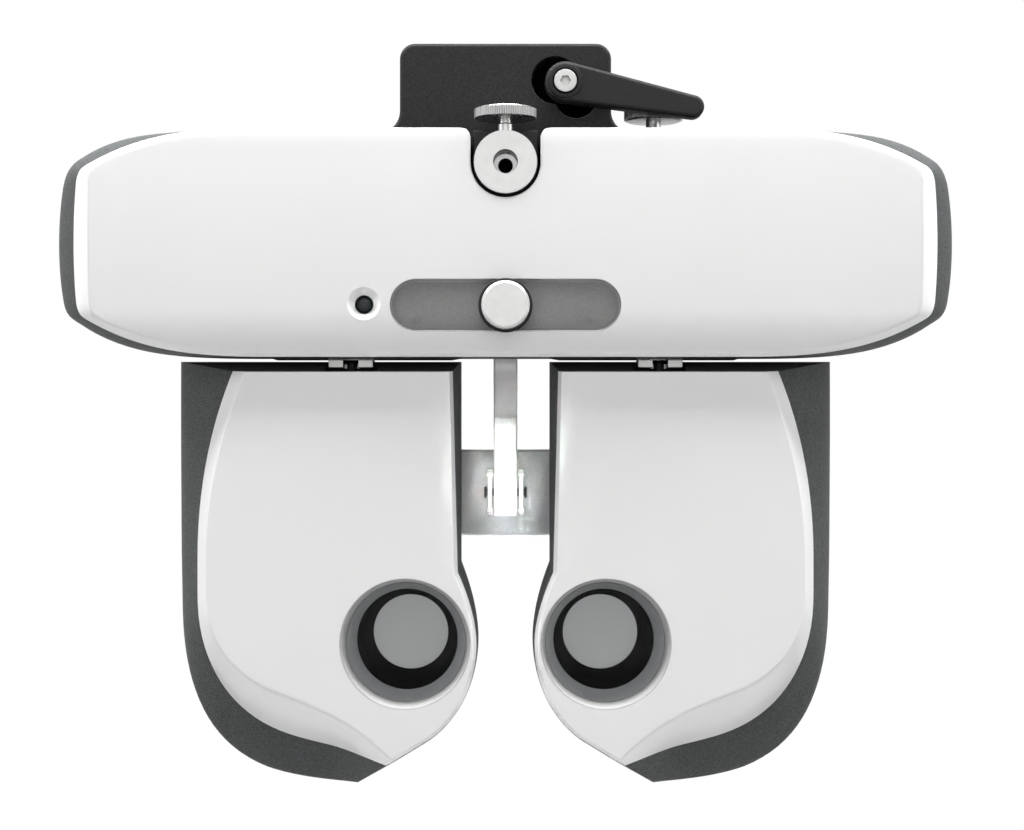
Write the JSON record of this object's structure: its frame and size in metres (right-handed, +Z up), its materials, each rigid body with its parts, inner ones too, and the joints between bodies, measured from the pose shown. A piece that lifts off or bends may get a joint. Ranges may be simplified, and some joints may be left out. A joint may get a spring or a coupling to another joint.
{
  "type": "phoropter",
  "caption": "Motorised phoropter with a pill-shaped body that hangs from a stand bracket and carries lens heads with round sight windows, plus a forehead rest between them.",
  "frame": {"origin": "on the top face of the mount bracket, on the centre plane, in front of the socket for the stand arm's post", "axes": "+X to the operator's right along the body, +Y from the operator towards the patient, +Z up along the arm post"},
  "size_m": [0.3278, 0.1134, 0.272],
  "materials": {
    "white_casing": "smooth satin paint on moulded plastic",
    "dark_casing": "fine grained charcoal",
    "black_metal": "fine textured black powder coat",
    "black_trim": "matt black",
    "grey_trim": "satin grey",
    "rest_material": "satin grey",
    "steel": "bright turned steel",
    "aluminium": "satin anodised",
    "brass": "machined",
    "circuit_board": "lacquered board",
    "optical_glass": "polished, coated",
    "clear_shield": "clear moulded plastic",
    "dark_lens": "dark polished lens"
  },
  "bodies": {
    "bracket": {"mount_bracket": "black_metal", "rod_holder": "aluminium"},
    "rod_screw": {"rod_clamp_screw": "steel"},
    "lever": {"clamp_lever": "black_metal", "clamp_screw": "steel"},
    "body": {"body_front_cover": "white_casing", "body_rear_shell": "dark_casing", "knob_recess_tray": "grey_trim", "sight_lens": "dark_lens", "chassis_plate": "aluminium", "guide_rod_upper": "steel", "guide_rod_lower": "steel", "control_board": "circuit_board", "cable_inlet": "black_trim", "pd_motor_left": "black_trim", "pd_motor_right": "black_trim"},
    "level_knob": {"levelling_knob": "steel"},
    "brow_knob": {"forehead_knob": "aluminium", "forehead_spindle": "steel"},
    "brow_arm": {"forehead_slide_block": "brass", "forehead_arm": "aluminium", "forehead_pin": "steel"},
    "brow_rest": {"forehead_clevis": "aluminium", "forehead_pad": "rest_material"},
    "carriage_left": {"pd_carriage_left": "aluminium", "slot_cover_plate_left": "black_trim", "convergence_pin_left": "black_trim"},
    "lead_screw_left": {"pd_lead_screw_left": "steel"},
    "head_left": {"head_rear_shell_left": "dark_casing", "head_front_cover_left": "white_casing", "aperture_bezel_left": "grey_trim", "front_window_left": "optical_glass", "lens_tube_left": "black_trim", "motor_carrier_left": "aluminium", "sphere_lens_cell_left": "optical_glass", "eyepiece_ring_left": "black_trim", "face_shield_left": "clear_shield"},
    "filter_disc_left": {"auxiliary_disc_left": "grey_trim"},
    "cylinder_front_left": {"cylinder_lens_front_left": "optical_glass"},
    "pinion_front_left": {"cylinder_pinion_front_left": "brass"},
    "cylinder_rear_left": {"cylinder_lens_rear_left": "optical_glass"},
    "pinion_rear_left": {"cylinder_pinion_rear_left": "brass"},
    "carriage_right": {"pd_carriage_right": "aluminium", "slot_cover_plate_right": "black_trim", "convergence_pin_right": "black_trim"},
    "lead_screw_right": {"pd_lead_screw_right": "steel"},
    "head_right": {"head_rear_shell_right": "dark_casing", "head_front_cover_right": "white_casing", "aperture_bezel_right": "grey_trim", "front_window_right": "optical_glass", "lens_tube_right": "black_trim", "motor_carrier_right": "aluminium", "sphere_lens_cell_right": "optical_glass", "eyepiece_ring_right": "black_trim", "face_shield_right": "clear_shield"},
    "filter_disc_right": {"auxiliary_disc_right": "grey_trim"},
    "cylinder_front_right": {"cylinder_lens_front_right": "optical_glass"},
    "pinion_front_right": {"cylinder_pinion_front_right": "brass"},
    "cylinder_rear_right": {"cylinder_lens_rear_right": "optical_glass"},
    "pinion_rear_right": {"cylinder_pinion_rear_right": "brass"}
  },
  "joints": [
    {"name": "level_tilt", "type": "hinge", "parent": "bracket", "child": "body", "pos_m": [0, 0, -0.0468], "axis": [0, 1, 0], "range_deg": [-2.5, 2.5]},
    {"name": "level_knob_spin", "type": "hinge", "parent": "body", "child": "level_knob", "pos_m": [0.055, -0.0035, -0.03], "axis": [0, 0, 1], "range_deg": [-870, 870]},
    {"name": "rod_screw_spin", "type": "hinge", "parent": "bracket", "child": "rod_screw", "pos_m": [0, -0.0305, -0.03], "axis": [0, 0, 1], "range_deg": [-540, 540]},
    {"name": "clamp_lever_swing", "type": "hinge", "parent": "bracket", "child": "lever", "pos_m": [0.0216, -0.018, -0.016], "axis": [0, -1, 0], "range_deg": [0, 80]},
    {"name": "brow_slide", "type": "slide", "parent": "body", "child": "brow_arm", "axis": [0, 1, 0], "range_m": [-0.004, 0.009]},
    {"name": "brow_knob_spin", "type": "hinge", "parent": "body", "child": "brow_knob", "pos_m": [0, -0.04, -0.0978], "axis": [0, 1, 0], "range_deg": [-300, 660]},
    {"name": "brow_tilt", "type": "hinge", "parent": "brow_arm", "child": "brow_rest", "pos_m": [0, 0.042, -0.1665], "axis": [1, 0, 0], "range_deg": [-10, 10]},
    {"name": "pd_slide_left", "type": "slide", "parent": "body", "child": "carriage_left", "axis": [1, 0, 0], "range_m": [-0.0035, 0.0085]},
    {"name": "lead_screw_spin_left", "type": "hinge", "parent": "body", "child": "lead_screw_left", "pos_m": [-0.06, -0.021, -0.0975], "axis": [1, 0, 0], "range_deg": [-660, 1560]},
    {"name": "convergence_left", "type": "hinge", "parent": "carriage_left", "child": "head_left", "pos_m": [-0.0557, -0.0215, -0.12], "axis": [0, 0, 1], "range_deg": [0, 6]},
    {"name": "filter_disc_spin_left", "type": "hinge", "parent": "head_left", "child": "filter_disc_left", "pos_m": [-0.0615, 0.016, -0.2101], "axis": [0, 1, 0], "continuous": true},
    {"name": "cylinder_front_spin_left", "type": "hinge", "parent": "head_left", "child": "cylinder_front_left", "pos_m": [-0.036, 0.0235, -0.2186], "axis": [0, 1, 0], "continuous": true},
    {"name": "pinion_front_spin_left", "type": "hinge", "parent": "head_left", "child": "pinion_front_left", "pos_m": [-0.0316, 0.0235, -0.1943], "axis": [0, 1, 0], "continuous": true},
    {"name": "cylinder_rear_spin_left", "type": "hinge", "parent": "head_left", "child": "cylinder_rear_left", "pos_m": [-0.036, 0.0295, -0.2186], "axis": [0, 1, 0], "continuous": true},
    {"name": "pinion_rear_spin_left", "type": "hinge", "parent": "head_left", "child": "pinion_rear_left", "pos_m": [-0.05407, 0.0295, -0.20176], "axis": [0, 1, 0], "continuous": true},
    {"name": "pd_slide_right", "type": "slide", "parent": "body", "child": "carriage_right", "axis": [-1, 0, 0], "range_m": [-0.0035, 0.0085]},
    {"name": "lead_screw_spin_right", "type": "hinge", "parent": "body", "child": "lead_screw_right", "pos_m": [0.06, -0.021, -0.0975], "axis": [1, 0, 0], "range_deg": [-660, 1560]},
    {"name": "convergence_right", "type": "hinge", "parent": "carriage_right", "child": "head_right", "pos_m": [0.0557, -0.0215, -0.12], "axis": [0, 0, -1], "range_deg": [0, 6]},
    {"name": "filter_disc_spin_right", "type": "hinge", "parent": "head_right", "child": "filter_disc_right", "pos_m": [0.0615, 0.016, -0.2101], "axis": [0, 1, 0], "continuous": true},
    {"name": "cylinder_front_spin_right", "type": "hinge", "parent": "head_right", "child": "cylinder_front_right", "pos_m": [0.036, 0.0235, -0.2186], "axis": [0, 1, 0], "continuous": true},
    {"name": "pinion_front_spin_right", "type": "hinge", "parent": "head_right", "child": "pinion_front_right", "pos_m": [0.0316, 0.0235, -0.1943], "axis": [0, 1, 0], "continuous": true},
    {"name": "cylinder_rear_spin_right", "type": "hinge", "parent": "head_right", "child": "cylinder_rear_right", "pos_m": [0.036, 0.0295, -0.2186], "axis": [0, 1, 0], "continuous": true},
    {"name": "pinion_rear_spin_right", "type": "hinge", "parent": "head_right", "child": "pinion_rear_right", "pos_m": [0.05407, 0.0295, -0.20176], "axis": [0, 1, 0], "continuous": true}
  ],
  "couplings": [
    {"joint": "level_knob_spin", "follows": "level_tilt", "ratio": 345.6},
    {"joint": "brow_knob_spin", "follows": "brow_slide", "rad_per_m": 1256.6},
    {"joint": "lead_screw_spin_left", "follows": "pd_slide_left", "rad_per_m": 3141.6},
    {"joint": "pinion_front_spin_left", "follows": "cylinder_front_spin_left", "ratio": -4},
    {"joint": "pinion_rear_spin_left", "follows": "cylinder_rear_spin_left", "ratio": -4},
    {"joint": "lead_screw_spin_right", "follows": "pd_slide_right", "rad_per_m": 3141.6},
    {"joint": "pinion_front_spin_right", "follows": "cylinder_front_spin_right", "ratio": -4},
    {"joint": "pinion_rear_spin_right", "follows": "cylinder_rear_spin_right", "ratio": -4},
    {"joint": "convergence_right", "follows": "convergence_left", "ratio": 1}
  ]
}
